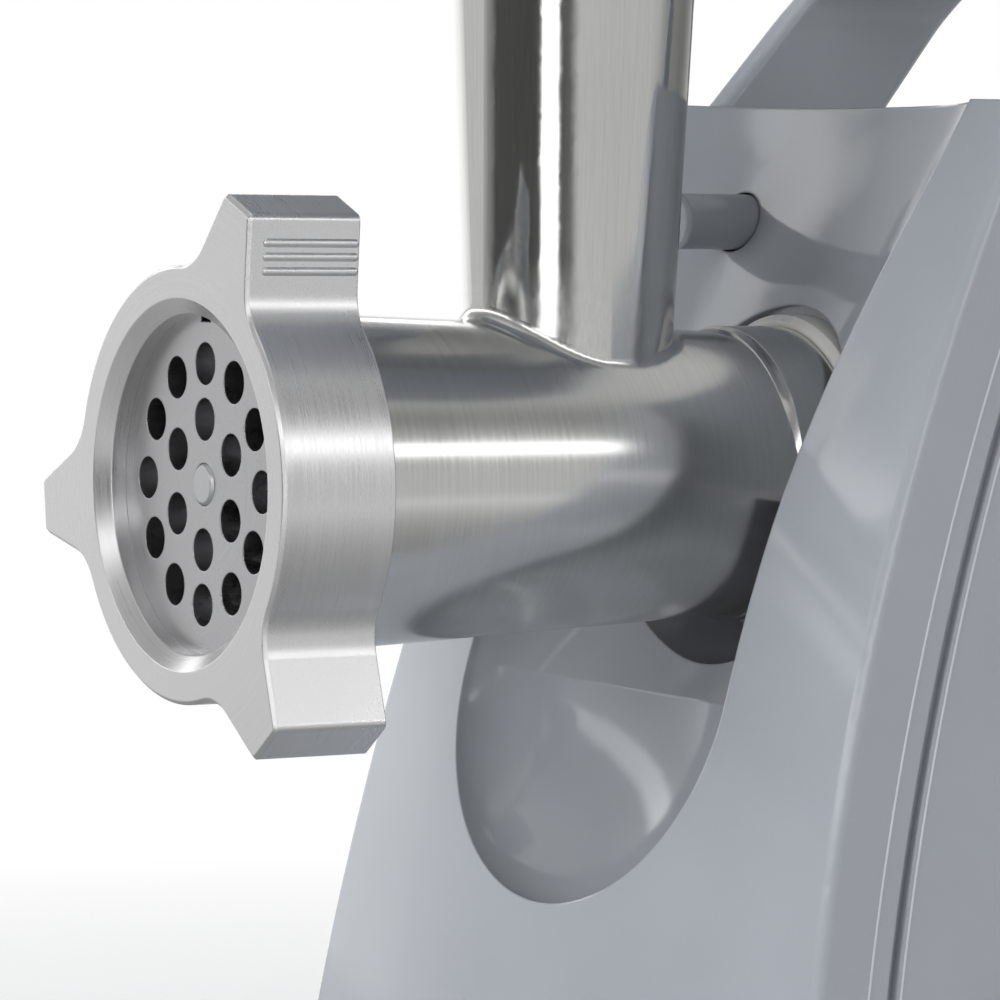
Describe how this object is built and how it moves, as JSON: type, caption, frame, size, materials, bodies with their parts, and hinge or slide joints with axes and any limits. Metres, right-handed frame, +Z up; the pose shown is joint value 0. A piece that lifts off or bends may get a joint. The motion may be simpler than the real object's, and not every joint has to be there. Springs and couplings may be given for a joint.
{
  "type": "electric meat grinder",
  "caption": "Electric meat grinder with a grey plastic motor housing, a metal grinding head with a lugged ring nut, a feed tray and a pusher",
  "frame": {"origin": "bottom centre of the bounding box, on the table under the feet", "axes": "+X the operator's side with the selector knob, -Y the outlet end of the grinding head, +Z up"},
  "size_m": [0.193, 0.262, 0.349],
  "materials": {
    "cover_plastic": "glossy",
    "casing_plastic": "glossy",
    "handle_plastic": "glossy",
    "base_plastic": "fine grain",
    "foot_rubber": "matte",
    "screw_steel": "zinc plated",
    "nut_aluminium": "satin, brushed round",
    "barrel_aluminium": "polished casting",
    "plate_steel": "ground flat",
    "blade_steel": "ground",
    "worm_aluminium": "cast",
    "pin_steel": "turned",
    "bush_brass": "turned",
    "socket_plastic": "semi gloss",
    "coupling_plastic": "moulded",
    "shaft_steel": "ground",
    "gear_steel": "cut",
    "gear_plastic": "moulded",
    "gear_plates_steel": "zinc plated",
    "bearing_chrome": "polished",
    "core_iron": "varnished",
    "copper": "varnished",
    "fan_plastic": "moulded",
    "brush_carbon": "matte",
    "holder_brass": "bent sheet",
    "cradle_plastic": "moulded",
    "button_plastic": "glossy",
    "spring_steel": "drawn wire",
    "knob_plastic": "semi gloss",
    "gland_rubber": "matte",
    "tray_plastic": "semi gloss",
    "pusher_plastic": "semi gloss",
    "cap_plastic": "semi gloss"
  },
  "bodies": {
    "base": {"front_cover": "cover_plastic", "rear_casing": "casing_plastic", "base_plate": "base_plastic", "feet": "foot_rubber", "base_screws": "screw_steel", "carry_handle": "handle_plastic", "socket_ring": "socket_plastic", "gear_plate_front": "gear_plates_steel", "gear_plate_rear": "gear_plates_steel", "gear_pillars": "gear_plates_steel", "gear_screws": "screw_steel", "output_bearing": "bearing_chrome", "shaft_bushes": "bush_brass", "motor_stator": "core_iron", "field_coils": "copper", "motor_bracket": "fan_plastic", "motor_bolts": "screw_steel", "carbon_brushes": "brush_carbon", "brush_holders": "holder_brass", "motor_cradle": "cradle_plastic", "spring_pin": "pin_steel", "button_spring": "spring_steel", "switch_block": "cradle_plastic", "cord_gland": "gland_rubber"},
    "head": {"grinder_barrel": "barrel_aluminium", "barrel_bush": "bush_brass", "plate_key": "pin_steel"},
    "plate": {"perforated_plate": "plate_steel"},
    "nut": {"ring_nut": "nut_aluminium"},
    "tray": {"hopper_tray": "tray_plastic"},
    "pusher": {"pusher_stem": "pusher_plastic", "pusher_cap": "cap_plastic"},
    "drive": {"feed_screw": "worm_aluminium", "thrust_washer": "pin_steel", "cross_blade": "blade_steel", "drive_coupling": "coupling_plastic", "coupling_screw": "screw_steel", "output_shaft": "shaft_steel", "output_gear": "gear_steel"},
    "second_lay": {"second_shaft": "shaft_steel", "second_wheel": "gear_plastic", "second_pinion": "gear_steel"},
    "first_lay": {"first_shaft": "shaft_steel", "first_wheel": "gear_plastic", "first_pinion": "gear_steel"},
    "rotor": {"motor_shaft": "shaft_steel", "motor_pinion": "gear_steel", "armature": "core_iron", "commutator": "copper", "cooling_fan": "fan_plastic"},
    "button": {"release_button": "button_plastic", "lock_arm": "pin_steel"},
    "knob": {"selector_knob": "knob_plastic"}
  },
  "joints": [
    {"name": "head_twist", "type": "hinge", "parent": "base", "child": "head", "pos_m": [0, 0, 0.165], "axis": [0, -1, 0], "range_deg": [0, 40]},
    {"name": "plate_slide", "type": "slide", "parent": "head", "child": "plate", "axis": [0, -1, 0], "range_m": [0, 0.0106]},
    {"name": "nut_turn", "type": "hinge", "parent": "plate", "child": "nut", "pos_m": [0, -0.12, 0.165], "axis": [0, -1, 0], "range_deg": [0, 1080]},
    {"name": "tray_lift", "type": "slide", "parent": "head", "child": "tray", "axis": [0, 0, 1], "range_m": [0, 0.05]},
    {"name": "pusher_lift", "type": "slide", "parent": "tray", "child": "pusher", "axis": [0, 0, 1], "range_m": [0, 0.14]},
    {"name": "rotor_spin", "type": "hinge", "parent": "base", "child": "rotor", "pos_m": [0, 0.09, 0.0793], "axis": [0, 1, 0], "continuous": true},
    {"name": "first_lay_turn", "type": "hinge", "parent": "base", "child": "first_lay", "pos_m": [-0.004, 0.04, 0.10144], "axis": [0, 1, 0], "continuous": true},
    {"name": "second_lay_turn", "type": "hinge", "parent": "base", "child": "second_lay", "pos_m": [0.014, 0.04, 0.12223], "axis": [0, 1, 0], "continuous": true},
    {"name": "drive_turn", "type": "hinge", "parent": "base", "child": "drive", "pos_m": [0, 0, 0.165], "axis": [0, 1, 0], "continuous": true},
    {"name": "button_press", "type": "slide", "parent": "base", "child": "button", "axis": [0, 1, 0], "range_m": [0, 0.005], "stiffness_N_per_m": 400, "deforming": ["button_spring"]},
    {"name": "knob_turn", "type": "hinge", "parent": "base", "child": "knob", "pos_m": [0.08, 0.075, 0.135], "axis": [1, 0, 0], "range_deg": [-45, 45]}
  ],
  "couplings": [
    {"joint": "plate_slide", "follows": "nut_turn", "m_per_rad": 0.00055704},
    {"joint": "first_lay_turn", "follows": "rotor_spin", "ratio": -0.2},
    {"joint": "second_lay_turn", "follows": "rotor_spin", "ratio": 0.05},
    {"joint": "drive_turn", "follows": "rotor_spin", "ratio": -0.0125}
  ]
}
